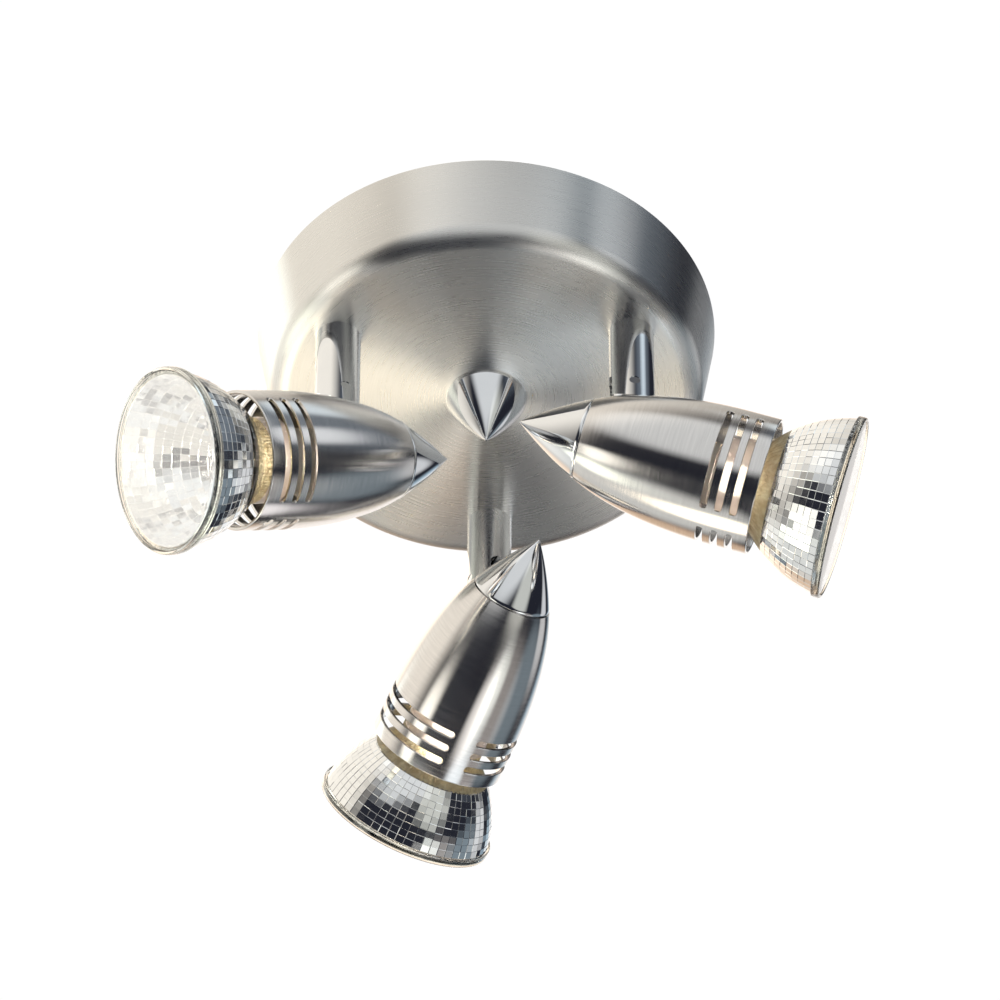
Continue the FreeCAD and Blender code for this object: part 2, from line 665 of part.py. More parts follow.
def tilt_knuckle():
    """Tongue with a boss for the pivot pin, and a foot that bears on the barrel's inner wall."""
    leg_top = HOLDER_LEG_Z + HOLDER_STRIP
    pivot = V(PIVOT_X, TONGUE_Y[0], PIVOT_Z)
    tongue = block(
        V(PIVOT_X - TONGUE_RADIUS, TONGUE_Y[0], leg_top), V(PIVOT_X + TONGUE_RADIUS, TONGUE_Y[1], PIVOT_Z)
    )
    tongue = tongue.fuse(rod(TONGUE_RADIUS, pivot, V(PIVOT_X, TONGUE_Y[1], PIVOT_Z)))
    tongue = tongue.fuse(rod(KNUCKLE_BOSS_RADIUS, pivot, V(PIVOT_X, BOSS_END_Y, PIVOT_Z)))
    foot = window_side(FOOT_START_X, leg_top, BARREL_RADIUS).common(barrel_cavity(0.02))
    knuckle = tongue.fuse(foot)
    knuckle = knuckle.cut(
        rod(PIVOT_PIN_RADIUS + FIT_CLEARANCE, pivot - V(0, 1, 0), V(PIVOT_X, BOSS_END_Y + 1, PIVOT_Z))
    )
    screw_hole = V(KNUCKLE_SCREW_X, KNUCKLE_SCREW_Y, leg_top - 1)
    screw_hole = rod(KNUCKLE_SCREW_RADIUS + 0.02, screw_hole, screw_hole + V(0, 0, 3.6))
    return knuckle.cut(screw_hole).removeSplitter()


def knuckle_screw():
    """Clamps the holder bracket's leg against the knuckle's foot."""
    seat = V(KNUCKLE_SCREW_X, KNUCKLE_SCREW_Y, HOLDER_LEG_Z)
    head = rod(KNUCKLE_SCREW_HEAD_RADIUS, seat - V(0, 0, 1.5), seat)
    screw = head.fuse(rod(KNUCKLE_SCREW_RADIUS, seat, seat + V(0, 0, HOLDER_STRIP + 2.4)))
    return slotted(screw, seat - V(0, 0, 1.5), KNUCKLE_SCREW_HEAD_RADIUS)


def holder_bracket():
    """U-shaped strip: base on the cone's stud, one leg under the knuckle, one on the far side."""
    base_x = BARREL_END_X + BARREL_END_WALL
    leg_top = HOLDER_LEG_Z + HOLDER_STRIP
    base = block(V(base_x, -FOOT_HALF_WIDTH, -leg_top), V(base_x + HOLDER_STRIP, FOOT_HALF_WIDTH, leg_top))
    far_leg = block(V(base_x, -FOOT_HALF_WIDTH, -leg_top), V(FOOT_END_X, FOOT_HALF_WIDTH, -HOLDER_LEG_Z))
    bracket = base.fuse(far_leg).fuse(window_side(base_x, HOLDER_LEG_Z, leg_top))
    bracket = bracket.fuse(rod(3.2, V(base_x, 0, 0), V(base_x + 2.6, 0, 0)))
    bracket = bracket.cut(rod(CONE_STUD_RADIUS + FIT_CLEARANCE, V(0, 0, 0), V(8, 0, 0)))
    screw_hole = V(KNUCKLE_SCREW_X, KNUCKLE_SCREW_Y, HOLDER_LEG_Z - 1)
    bracket = bracket.cut(
        rod(KNUCKLE_SCREW_RADIUS + FIT_CLEARANCE, screw_hole, screw_hole + V(0, 0, HOLDER_STRIP + 2))
    )
    return bracket.common(barrel_cavity(0.02)).removeSplitter()


def kidney(half_width, start_x, end_x, start_degrees, turn_degrees):
    """Cutter for a curved slot about the lamp's axis, with round ends."""
    radius = PIN_SPACING / 2
    section = Part.makePolygon([
        V(start_x, radius - half_width, 0), V(start_x, radius + half_width, 0),
        V(end_x, radius + half_width, 0), V(end_x, radius - half_width, 0),
        V(start_x, radius - half_width, 0),
    ])
    cutter = Part.Face(section).revolve(V(0, 0, 0), X_AXIS, turn_degrees)
    for end in (0, turn_degrees):
        cap = rod(half_width, V(start_x, radius, 0), V(end_x, radius, 0))
        cap.rotate(V(0, 0, 0), X_AXIS, end)
        cutter = cutter.fuse(cap)
    cutter.rotate(V(0, 0, 0), X_AXIS, start_degrees)
    return cutter


def lampholder():
    """Ceramic body with two curved slots; each pin enters at one end and locks under the front."""
    body = rod(HOLDER_RADIUS, V(HOLDER_BACK_X, 0, 0), V(LAMP_SEAT_X, 0, 0))
    wide = HOLDER_RADIUS + 1
    body = body.common(
        block(V(0, -wide, -HOLDER_LEG_Z + 0.02), V(LAMP_SEAT_X + 1, wide, HOLDER_LEG_Z - 0.02))
    )
    pocket_start = LAMP_SEAT_X - PIN_LENGTH - 0.4
    pocket_end = LAMP_SEAT_X - HOLDER_FRONT_WALL
    for pin in (0, 180):
        body = body.cut(kidney(PIN_HEAD_RADIUS + 0.3, pocket_start, pocket_end, pin, TWIST_DEGREES))
        body = body.cut(
            kidney(PIN_NECK_RADIUS + 0.3, pocket_end - 1, LAMP_SEAT_X + 1, pin, TWIST_DEGREES)
        )
        entry = rod(
            PIN_HEAD_RADIUS + 0.3,
            V(pocket_end - 1, PIN_SPACING / 2, 0),
            V(LAMP_SEAT_X + 1, PIN_SPACING / 2, 0),
        )
        entry.rotate(V(0, 0, 0), X_AXIS, pin + TWIST_DEGREES)
        body = body.cut(entry)
    for side in (-1, 1):
        body = body.cut(
            rod(1.3, V(HOLDER_BACK_X - 1, side * 3.2, 1.5), V(HOLDER_BACK_X + 1.5, side * 3.2, 1.5))
        )
    return body.removeSplitter()


# ---------------------------------------------------------------- lamps, in the head's frame

def lamp_base():
    """Ceramic foot of the lamp, bored for the capsule's stem."""
    base = rod(LAMP_BASE_RADIUS, V(LAMP_SEAT_X, 0, 0), V(BASE_END_X, 0, 0))
    base = base.cut(rod(CAPSULE_STEM_RADIUS + FIT_CLEARANCE, V(STEM_START_X, 0, 0), V(BASE_END_X, 0, 0)))
    base = base.makeChamfer(0.8, [e for e in base.Edges if abs(e.BoundBox.XMax - LAMP_SEAT_X) < 0.01])
    for side in (-1, 1):
        y = side * PIN_SPACING / 2
        base = base.cut(rod(PIN_NECK_RADIUS + 0.02, V(LAMP_SEAT_X - 1, y, 0), V(LAMP_SEAT_X + 3, y, 0)))
    return base


def lamp_pins():
    """Two mushroom-shaped contact pins."""
    pins = []
    for side in (-1, 1):
        y = side * PIN_SPACING / 2
        tip_x = LAMP_SEAT_X - PIN_LENGTH
        neck = rod(PIN_NECK_RADIUS, V(tip_x + 1, y, 0), V(LAMP_SEAT_X + 3, y, 0))
        pins.append(neck.fuse(rod(PIN_HEAD_RADIUS, V(tip_x, y, 0), V(tip_x + PIN_HEAD_LENGTH, y, 0))))
    return group(pins)


def lamp_reflector():
    """Glass bowl with a neck and a rolled rim."""
    outer_start = (NECK_END_X, LAMP_NECK_RADIUS + 0.5)
    outer_end = (BOWL_END_X, LAMP_RIM_RADIUS - 0.8)
    inner_end = (LAMP_FRONT_X - 1.5, LAMP_RIM_RADIUS - 2.1)
    inner_start = (NECK_END_X + 0.8, LAMP_NECK_RADIUS - 0.8)
    neck_x = BASE_END_X + 1.4
    edges = chain([
        inner_start, (neck_x, LAMP_NECK_RADIUS - LAMP_GLASS), (neck_x, 5.0), (BASE_END_X, 5.0),
        (BASE_END_X, LAMP_NECK_RADIUS - 1.2), (neck_x, LAMP_NECK_RADIUS), outer_start,
    ])
    edges.append(bow(outer_start, (NECK_END_X + 9.5, 20.0), outer_end))
    edges += chain([
        outer_end, (BOWL_END_X, LAMP_RIM_RADIUS), (LAMP_FRONT_X, LAMP_RIM_RADIUS),
        (LAMP_FRONT_X, LAMP_RIM_RADIUS - 1.0), (LAMP_FRONT_X - 1.5, LAMP_RIM_RADIUS - 1.0), inner_end,
    ])
    edges.append(bow(inner_end, (NECK_END_X + 10.3, 18.8), inner_start))
    return spin(edges)


def lamp_front_glass():
    """Cover disc set into the rim."""
    start = LAMP_FRONT_X - 1.5
    return rod(LAMP_RIM_RADIUS - 1.05, V(start, 0, 0), V(start + FRONT_GLASS_THICKNESS, 0, 0))


def lamp_capsule():
    """Halogen capsule standing in the reflector's neck, with a rounded tip."""
    start, end = BASE_END_X + 3.0, NECK_END_X + 8.5
    radius = CAPSULE_RADIUS
    stem = rod(CAPSULE_STEM_RADIUS, V(STEM_START_X, 0, 0), V(start, 0, 0))
    tip, tip_x = blunt_end(end, radius, 1)
    bulb = spin(chain([(end, 0), (start, 0), (start, radius), (tip_x, radius)]) + tip)
    return stem.fuse(bulb).removeSplitter()


FIXED = (
    ceiling_plate, mounting_bracket, centre_bolt, centre_nut, finial_cone, swivel_washers,
    terminal_block, terminal_inserts, terminal_screws, block_screw, earth_tag, earth_screw, earth_lead,
)
ON_ARM = (arm_post, swivel_nut, pivot_pin)
ON_HEAD = (
    barrel, cone_cap, tilt_knuckle, knuckle_screw, holder_bracket, lampholder, head_leads,
    lamp_reflector, lamp_front_glass, lamp_base, lamp_pins, lamp_capsule,
)


def export(shape, node):
    """Writes one node and prints whether its solids are sound."""
    solids = shape.Solids
    bad = [s for s in solids if not s.isValid() or s.Volume <= 0]
    print("%-24s solids %d bad %d volume %.1f" % (node, len(solids), len(bad), shape.Volume))
    shape.exportStep("parts/%s.step" % node)


def main():
    """Makes every node in its place."""
    os.makedirs("parts", exist_ok=True)
    for make in FIXED:
        export(make(), make.__name__)
    export(leads(1), "live_leads")
    export(leads(-1), "neutral_leads")
    for make in ON_ARM:
        for name in HEADS:
            export(placed(make(), arm_place(name)), "%s_%s" % (make.__name__, name))
    for make in ON_HEAD:
        for name in HEADS:
            export(placed(make(), head_place(name)), "%s_%s" % (make.__name__, name))


main()
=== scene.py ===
"""Looks for the round ceiling fitting with three spot heads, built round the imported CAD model.

Everything is in metres in the part's own frame. Turned pieces are drawn as (x, radius) profiles in
millimetres about their own X axis, and placed on the axes that the joints give.
"""

import json
import math
import random

import bmesh
import bpy
from mathutils import Matrix, Vector


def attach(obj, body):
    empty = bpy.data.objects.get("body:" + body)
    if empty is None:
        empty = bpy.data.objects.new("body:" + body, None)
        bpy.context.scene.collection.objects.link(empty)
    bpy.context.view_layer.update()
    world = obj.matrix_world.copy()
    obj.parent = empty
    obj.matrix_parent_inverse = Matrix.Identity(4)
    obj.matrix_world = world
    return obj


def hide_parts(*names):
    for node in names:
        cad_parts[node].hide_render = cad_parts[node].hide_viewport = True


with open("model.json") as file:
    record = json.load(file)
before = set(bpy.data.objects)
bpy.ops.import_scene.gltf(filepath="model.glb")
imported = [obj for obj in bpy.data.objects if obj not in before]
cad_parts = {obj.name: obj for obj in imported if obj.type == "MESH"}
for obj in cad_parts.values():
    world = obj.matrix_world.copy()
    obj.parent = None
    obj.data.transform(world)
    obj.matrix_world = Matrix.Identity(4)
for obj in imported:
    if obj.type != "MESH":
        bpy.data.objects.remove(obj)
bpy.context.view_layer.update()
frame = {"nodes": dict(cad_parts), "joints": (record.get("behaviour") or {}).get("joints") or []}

MM = 0.001
HEADS = ("left", "right", "far")

# Camera and floor, in metres and degrees
VIEW_AZIMUTH = 1.03
VIEW_ELEVATION = -47.84
VIEW_DISTANCE = 2.4919
VIEW_LENS = 324.0
AIM_DEPTH = 0.040
AIM_RIGHT = 0.00383
AIM_UP = -0.01946
FLOOR_Z = -2.35
FLOOR_HALF = 1.5

# Plate, in millimetres like all the sizes below
PLATE_BACK_RADIUS = 64.0
PLATE_CORNER_RADIUS = 59.7
PLATE_DEPTH = 27.5
PLATE_SHEET = 1.0
SHOULDER_FILLET = 6.0
BOLT_HOLE_RADIUS = 3.2
ARM_HOLE_RADIUS = 5.02

# Barrel
PIVOT_X = 8.0
BARREL_RADIUS = 19.0
NOSE_LENGTH = 42.0
NOSE_ELLIPSE = 52.2
BARREL_LENGTH = 51.2
BARREL_WALL = 0.9
BARREL_END_X = 0.3
SLOT_X = (37.8, 42.0, 46.2)
SLOT_HALF_WIDTH = 1.0
SLOT_HALF_TURN = 49.75
SLOT_CHAMFER = 0.16
WINDOW_HALF_LENGTH = 4.6
WINDOW_HALF_WIDTH = 2.25

# Cones
CONE_RADIUS = 11.2
CONE_LENGTH = 18.2
FINIAL_LENGTH = 17.0
CONE_TIP = 0.4
CONE_WALL = 0.9
CONE_FOOT_RADIUS = 2.0
CONE_FOOT_DEPTH = 5.0
FINIAL_BORE_RADIUS = 3.05
FINIAL_BORE_DEPTH = 11.5

# Lamp
FACET_ROWS = 9
FACET_COLUMNS = 60
BOWL_OUTER = ((49.6, 12.1), (59.1, 20.0), (71.1, 24.55))
BOWL_INNER = ((50.4, 10.8), (59.9, 18.8), (72.1, 23.25))
COLLAR_SHARE = 0.28
COLLAR_START_X = 46.4
COLLAR_RIBS = 72
COLLAR_RIB_SHARE = 0.009
PANE_INSET_SHARE = 0.09
OUTER_PANE_RAISE = 0.08
OUTER_PANE_UNEVENNESS = 0.05
INNER_PANE_RAISE = -0.2
INNER_PANE_UNEVENNESS = 0.18
RIM_RADIUS = 25.35
RIM_START_X = 71.1
LAMP_FRONT_X = 73.6


# ---------------------------------------------------------------- node helpers


def new_material(name):
    """A material with an empty node tree, its Principled shader and its output."""
    material = bpy.data.materials.new(name)
    material.use_nodes = True
    nodes = material.node_tree.nodes
    return material, nodes, material.node_tree.links, nodes["Principled BSDF"]


def object_point(nodes):
    return nodes.new("ShaderNodeTexCoord").outputs["Object"]


def stretched(nodes, links, point, scale):
    """The point multiplied by a different scale along each axis."""
    node = nodes.new("ShaderNodeVectorMath")
    node.operation = "MULTIPLY"
    links.new(point, node.inputs[0])
    node.inputs[1].default_value = scale
    return node.outputs[0]


def noise(nodes, links, point, scale, detail=3.0, roughness=0.5):
    node = nodes.new("ShaderNodeTexNoise")
    links.new(point, node.inputs["Vector"])
    node.inputs["Scale"].default_value = scale
    node.inputs["Detail"].default_value = detail
    node.inputs["Roughness"].default_value = roughness
    return node.outputs["Fac"]


def ranged(nodes, links, value, low, high, start=0.3, end=0.7):
    """A value between start and end, turned into one between low and high."""
    node = nodes.new("ShaderNodeMapRange")
    links.new(value, node.inputs["Value"])
    node.inputs["From Min"].default_value = start
    node.inputs["From Max"].default_value = end
    node.inputs["To Min"].default_value = low
    node.inputs["To Max"].default_value = high
    return node.outputs["Result"]


def blended(nodes, links, factor, first, second):
    """A colour between two colours."""
    node = nodes.new("ShaderNodeMix")
    node.data_type = "RGBA"
    links.new(factor, node.inputs["Factor"])
    node.inputs[6].default_value = (*first, 1)
    node.inputs[7].default_value = (*second, 1)
    return node.outputs[2]


def worked_out(nodes, links, operation, *values):
    """The result of a Math node whose values are sockets or numbers."""
    node = nodes.new("ShaderNodeMath")
    node.operation = operation
    for socket, value in zip(node.inputs, values):
        if isinstance(value, (int, float)):
            socket.default_value = value
        else:
            links.new(value, socket)
    return node.outputs[0]


def bumped(nodes, links, shader, height, strength, distance):
    node = nodes.new("ShaderNodeBump")
    node.inputs["Strength"].default_value = strength
    node.inputs["Distance"].default_value = distance
    links.new(height, node.inputs["Height"])
    links.new(node.outputs["Normal"], shader.inputs["Normal"])


def varied_material(name, colours, roughness, grain, bump):
    """Colour and roughness that wander with one noise, and a bump from a finer one.

    grain is the two noises' scales, and bump is the fine one's strength and depth.
    """
    material, nodes, links, shader = new_material(name)
    point = object_point(nodes)
    wander = noise(nodes, links, point, grain[0], 4.0)
    links.new(blended(nodes, links, wander, *colours), shader.inputs["Base Color"])
    links.new(ranged(nodes, links, wander, *roughness), shader.inputs["Roughness"])
    fine = noise(nodes, links, point, grain[1], 3.0)
    bumped(nodes, links, shader, fine, *bump)
    return material, shader


# ---------------------------------------------------------------- materials


def brushed_metal(name, colours, roughness, line_scale):
    """Satin metal turned about the piece's X axis, with fine lines that run round it."""
    material, nodes, links, shader = new_material(name)
    shader.inputs["Metallic"].default_value = 1.0
    shader.inputs["Anisotropic"].default_value = 0.98
    shader.inputs["Anisotropic Rotation"].default_value = 0.25
    tangent = nodes.new("ShaderNodeTangent")
    tangent.direction_type = "RADIAL"
    tangent.axis = "X"
    links.new(tangent.outputs[0], shader.inputs["Tangent"])
    point = object_point(nodes)
    lines = noise(nodes, links, ring_point(nodes, links, point, line_scale), 1.0, 2.0, 0.6)
    cloud = noise(nodes, links, point, 60.0, 3.0)
    links.new(blended(nodes, links, lines, *colours), shader.inputs["Base Color"])
    both = worked_out(nodes, links, "MULTIPLY_ADD", cloud, 0.35, lines)
    links.new(ranged(nodes, links, both, *roughness, 0.4, 0.9), shader.inputs["Roughness"])
    bumped(nodes, links, shader, lines, 0.17, 0.00004)
    return material


def ring_point(nodes, links, point, line_scale):
    """A point whose noise runs in rings: close lines along the axis and radius, slow change round."""
    split = nodes.new("ShaderNodeSeparateXYZ")
    links.new(point, split.inputs[0])
    radius = nodes.new("ShaderNodeVectorMath")
    radius.operation = "LENGTH"
    links.new(stretched(nodes, links, point, (0, 1, 1)), radius.inputs[0])
    along = worked_out(nodes, links, "ADD", split.outputs["X"], radius.outputs["Value"])
    slow = nodes.new("ShaderNodeSeparateXYZ")
    links.new(stretched(nodes, links, point, (0, 90, 90)), slow.inputs[0])
    joined = nodes.new("ShaderNodeCombineXYZ")
    links.new(worked_out(nodes, links, "MULTIPLY", along, line_scale), joined.inputs["X"])
    links.new(slow.outputs["Y"], joined.inputs["Y"])
    links.new(slow.outputs["Z"], joined.inputs["Z"])
    return joined.outputs[0]


def plain_metal(name, *finish):
    """Chromed, plated or bare metal; finish is the colours, roughness, grain and bump."""
    material, shader = varied_material(name, *finish)
    shader.inputs["Metallic"].default_value = 1.0
    return material


def plain_surface(name, *finish):
    """Moulded, fired or woven non-metal; finish is the colours, roughness, grain and bump."""
    return varied_material(name, *finish)[0]


def earth_insulation():
    """Green insulation with a yellow stripe that winds round the lead."""
    material, nodes, links, shader = new_material("green_yellow_lead")
    point = object_point(nodes)
    wave = nodes.new("ShaderNodeTexWave")
    wave.inputs["Scale"].default_value = 90.0
    wave.inputs["Distortion"].default_value = 1.0
    links.new(point, wave.inputs["Vector"])
    colour = blended(nodes, links, wave.outputs["Fac"], (0.02, 0.22, 0.05), (0.75, 0.60, 0.03))
    links.new(colour, shader.inputs["Base Color"])
    fine = noise(nodes, links, point, 1800)
    links.new(ranged(nodes, links, fine, 0.4, 0.55), shader.inputs["Roughness"])
    bumped(nodes, links, shader, fine, 0.1, 0.00003)
    return material


def mirror_facets(name, glow=0.0):
    """Aluminised glass: a bright mirror under a clear skin; glow paints a glow on it that stands in for the
    lamp's light.
    """
    material, shader = varied_material(
        name, ((0.78, 0.78, 0.78), (0.92, 0.92, 0.91)), (0.05, 0.14), (260, 1400), (0.06, 0.00006)
    )
    shader.inputs["Metallic"].default_value = 1.0
    shader.inputs["Coat Weight"].default_value = 0.6
    shader.inputs["Coat Roughness"].default_value = 0.03
    # Emission here is painted glow for the lamp's light in the mirror; the coat gives no light of its own.
    shader.inputs["Emission Color"].default_value = (1, 0.965, 0.93, 1)
    shader.inputs["Emission Strength"].default_value = glow
    return material


def glass(name, colours, *finish, glow=0.0, through=1.0):
    """Glass; finish is the roughness, grain and bump, glow its emission and through its clearness."""
    material, shader = varied_material(name, colours, *finish)
    shader.inputs["Transmission Weight"].default_value = through
    shader.inputs["IOR"].default_value = 1.48
    # Emission: the lit capsule's own light; on the neck and collar it is painted glow.
    shader.inputs["Emission Color"].default_value = (*colours[1], 1)
    shader.inputs["Emission Strength"].default_value = glow
    return material


# colours, roughness, grain, bump
MATERIALS = {
    "plate": brushed_metal("satin_plate", ((0.68, 0.665, 0.64), (0.83, 0.815, 0.79)), (0.25, 0.31), 2600),
    "barrel": brushed_metal("satin_barrel", ((0.62, 0.60, 0.58), (0.80, 0.77, 0.75)), (0.13, 0.18), 3200),
    "chrome": plain_metal(
        "polished_chrome", ((0.72, 0.73, 0.75), (0.82, 0.82, 0.82)), (0.03, 0.07), (120, 900),
        (0.04, 0.00005),
    ),
    "zinc": plain_metal(
        "zinc_plated_steel", ((0.52, 0.53, 0.55), (0.70, 0.70, 0.66)), (0.28, 0.48), (220, 2600),
        (0.25, 0.00006),
    ),
    "brass": plain_metal(
        "plain_brass", ((0.62, 0.44, 0.17), (0.80, 0.62, 0.30)), (0.22, 0.42), (300, 2400), (0.2, 0.00005)
    ),
    "nickel": plain_metal(
        "nickel_pins", ((0.55, 0.52, 0.47), (0.72, 0.68, 0.62)), (0.16, 0.32), (400, 3000), (0.15, 0.00004)
    ),
    "plastic": plain_surface(
        "white_nylon", ((0.78, 0.76, 0.70), (0.86, 0.85, 0.80)), (0.38, 0.5), (180, 1500), (0.12, 0.00005)
    ),
    "ceramic": plain_surface(
        "fired_ceramic", ((0.72, 0.69, 0.63), (0.84, 0.81, 0.76)), (0.45, 0.65), (140, 2200), (0.2, 0.00006)
    ),
    "brown": plain_surface(
        "brown_lead", ((0.12, 0.05, 0.025), (0.17, 0.08, 0.04)), (0.4, 0.55), (300, 2500), (0.15, 0.00004)
    ),
    "blue": plain_surface(
        "blue_lead", ((0.02, 0.10, 0.32), (0.04, 0.15, 0.42)), (0.4, 0.55), (300, 2500), (0.15, 0.00004)
    ),
    "earth": earth_insulation(),
    "white": plain_surface(
        "white_braid", ((0.70, 0.69, 0.66), (0.84, 0.83, 0.80)), (0.55, 0.75), (900, 5000), (0.5, 0.00008)
    ),
    "mirror": mirror_facets("mirror_coat"),
    # the bowl's inner facets, with painted glow standing in for the lamp's light in them
    "painted_glow_mirror": mirror_facets("mirror_coat_with_painted_glow", 0.22),
    "clear": glass("clear_glass", ((0.96, 0.97, 0.96), (1, 1, 1)), (0.0, 0.03), (90, 500), (0.03, 0.00006)),
    "rim": glass(
        "rim_glass", ((0.90, 0.91, 0.86), (0.98, 0.98, 0.95)), (0.02, 0.08), (120, 700), (0.1, 0.0001)
    ),
    # the neck's glow is painted glow: the neck gives no light of its own
    "pale": glass(
        "pale_neck", ((0.50, 0.43, 0.39), (0.78, 0.73, 0.69)), (0.15, 0.3), (260, 900), (0.3, 0.0002),
        glow=0.06, through=0.3,
    ),
    # the collar's glow is painted glow: the collar gives no light of its own
    "amber": glass(
        "amber_collar", ((0.30, 0.20, 0.07), (1.0, 0.92, 0.66)), (0.03, 0.14), (340, 900), (0.9, 0.0008),
        glow=0.03, through=0.4,
    ),
    "lit": glass(
        "lit_capsule", ((1, 0.94, 0.84), (1, 0.98, 0.92)), (0.2, 0.35), (300, 1200), (0.05, 0.00005),
        glow=12.0,
    ),
}


# ---------------------------------------------------------------- mesh helpers


def fillet(before, corner, after, radius, steps):
    """Points of the round that replaces one corner of a profile."""
    back = (before - corner).normalized()
    ahead = (after - corner).normalized()
    half = back.angle(ahead) / 2
    reach = min(radius / math.tan(half), 0.49 * (before - corner).length, 0.49 * (after - corner).length)
    size = reach * math.tan(half)
    centre = corner + (back + ahead).normalized() * (size / math.sin(half))
    start = corner + back * reach - centre
    end = corner + ahead * reach - centre
    return [centre + start.slerp(end, i / steps) * start.length for i in range(steps + 1)]


def rounded(points, steps=5):
    """A profile from (x, r) or (x, r, fillet radius) points."""
    places = [Vector(p[:2]) for p in points]
    result = []
    for i, point in enumerate(points):
        if len(point) == 3 and 0 < i < len(points) - 1:
            result += fillet(places[i - 1], places[i], places[i + 1], point[2], steps)
        else:
            result.append(places[i])
    return [tuple(p) for p in result]


def arc(start, middle, end, steps):
    """Points on the circle through three points."""
    a, b, c = Vector(start), Vector(middle), Vector(end)
    ab, ac = b - a, c - a
    cross = 2 * (ab.x * ac.y - ab.y * ac.x)
    away = Vector((
        (ac.y * ab.length_squared - ab.y * ac.length_squared) / cross,
        (ab.x * ac.length_squared - ac.x * ab.length_squared) / cross,
    ))
    centre = a + away
    first, last = a - centre, c - centre
    return [tuple(centre + first.slerp(last, i / steps) * first.length) for i in range(steps + 1)]


def turn(bm, rings, closed):
    """Joins rings of points, some of them single points on the axis, into faces."""
    count = max(len(r) for r in rings)
    pairs = list(zip(rings, rings[1:]))
    if closed:
        pairs.append((rings[-1], rings[0]))
    for a, b in pairs:
        for i in range(count):
            j = (i + 1) % count
            corners = [a[i % len(a)], a[j % len(a)], b[j % len(b)], b[i % len(b)]]
            unique = list(dict.fromkeys(corners))
            if len(unique) > 2:
                bm.faces.new(unique)


def ring(bm, x, radius, count):
    if radius < 1e-6:
        return [bm.verts.new((x * MM, 0, 0))]
    points = []
    for i in range(count):
        angle = math.tau * i / count
        points.append(bm.verts.new((x * MM, radius * MM * math.cos(angle), radius * MM * math.sin(angle))))
    return points


def lathe(profile, segments=192, closed=False):
    """A turned mesh about X from a profile in millimetres."""
    bm = bmesh.new()
    turn(bm, [ring(bm, x, r, segments) for x, r in profile], closed)
    bmesh.ops.recalc_face_normals(bm, faces=bm.faces)
    return bm


def make_piece(name, bm, place, material, sharp=35.0):
    """An object in the row frame, from a mesh in its own frame.

    Only satin pieces keep their own axes, because their brush lines run round X.
    """
    mesh = bpy.data.meshes.new(name)
    bm.to_mesh(mesh)
    bm.free()
    mesh.materials.append(material)
    for polygon in mesh.polygons:
        polygon.use_smooth = True
    mesh.set_sharp_from_angle(angle=math.radians(sharp))
    if not material.name.startswith("satin"):
        mesh.transform(place)
        place = Matrix()
    piece = bpy.data.objects.new(name, mesh)
    bpy.context.scene.collection.objects.link(piece)
    piece.matrix_world = place
    return piece


def cut(piece, cutter_bm, sharp=35.0):
    """Takes a cutter's shape out of a piece, both in the piece's own frame."""
    cutter = make_piece(piece.name + "_cutter", cutter_bm, piece.matrix_world, piece.data.materials[0])
    bpy.context.view_layer.update()
    step = piece.modifiers.new("cut", "BOOLEAN")
    step.object = cutter
    step.solver = "EXACT"
    graph = bpy.context.evaluated_depsgraph_get()
    mesh = bpy.data.meshes.new_from_object(piece.evaluated_get(graph))
    piece.modifiers.clear()
    piece.data = mesh
    mesh.set_sharp_from_angle(angle=math.radians(sharp))
    bpy.data.objects.remove(cutter)


def settle(piece, body, slot, *nodes):
    """Rides on a body and stands for its CAD nodes, if it has any; slot is not used."""
    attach(piece, body)
    if nodes:
        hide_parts(*nodes)


# ---------------------------------------------------------------- frames from the joints


def joint(name):
    return next(j for j in frame["joints"] if j["name"] == name)


def placing(x_axis, z_axis, origin):
    """A placement from two axes and an origin."""
    x = x_axis.normalized()
    z = z_axis.normalized()
    y = z.cross(x)
    turned = Matrix((x, y, z)).transposed()
    return Matrix.Translation(origin) @ turned.to_4x4()


def head_place(name):
    """Origin at the cone joint, X to the lamp, Z to the tilt pivot."""
    twist = joint("lamp_twist_" + name)
    under_pivot = Vector(twist["pos_m"])
    along = Vector(twist["axis"]).normalized()
    pivot = Vector(joint("tilt_" + name)["pos_m"])
    return placing(along, pivot - under_pivot, under_pivot - along * (PIVOT_X * MM))


def upright_place(z):
    """Turned pieces in the fitting's middle: their X axis is its Z axis."""
    return placing(Vector((0, 0, 1)), Vector((1, 0, 0)), Vector((0, 0, z)) * MM)


# ---------------------------------------------------------------- plate and finial


def cylinder_cutter(bm, x, y, z, radius, height, count=64):
    """A closed cylinder along X, centred at a point, added to a cutter mesh."""
    rings = []
    for end in (-height / 2, height / 2):
        points = []
        for i in range(count):
            angle = math.tau * i / count
            points.append(bm.verts.new((
                (x + end) * MM, (y + radius * math.cos(angle)) * MM, (z + radius * math.sin(angle)) * MM
            )))
        rings.append(points)
    turn(bm, rings, False)
    bm.faces.new(rings[0])
    bm.faces.new(rings[1])


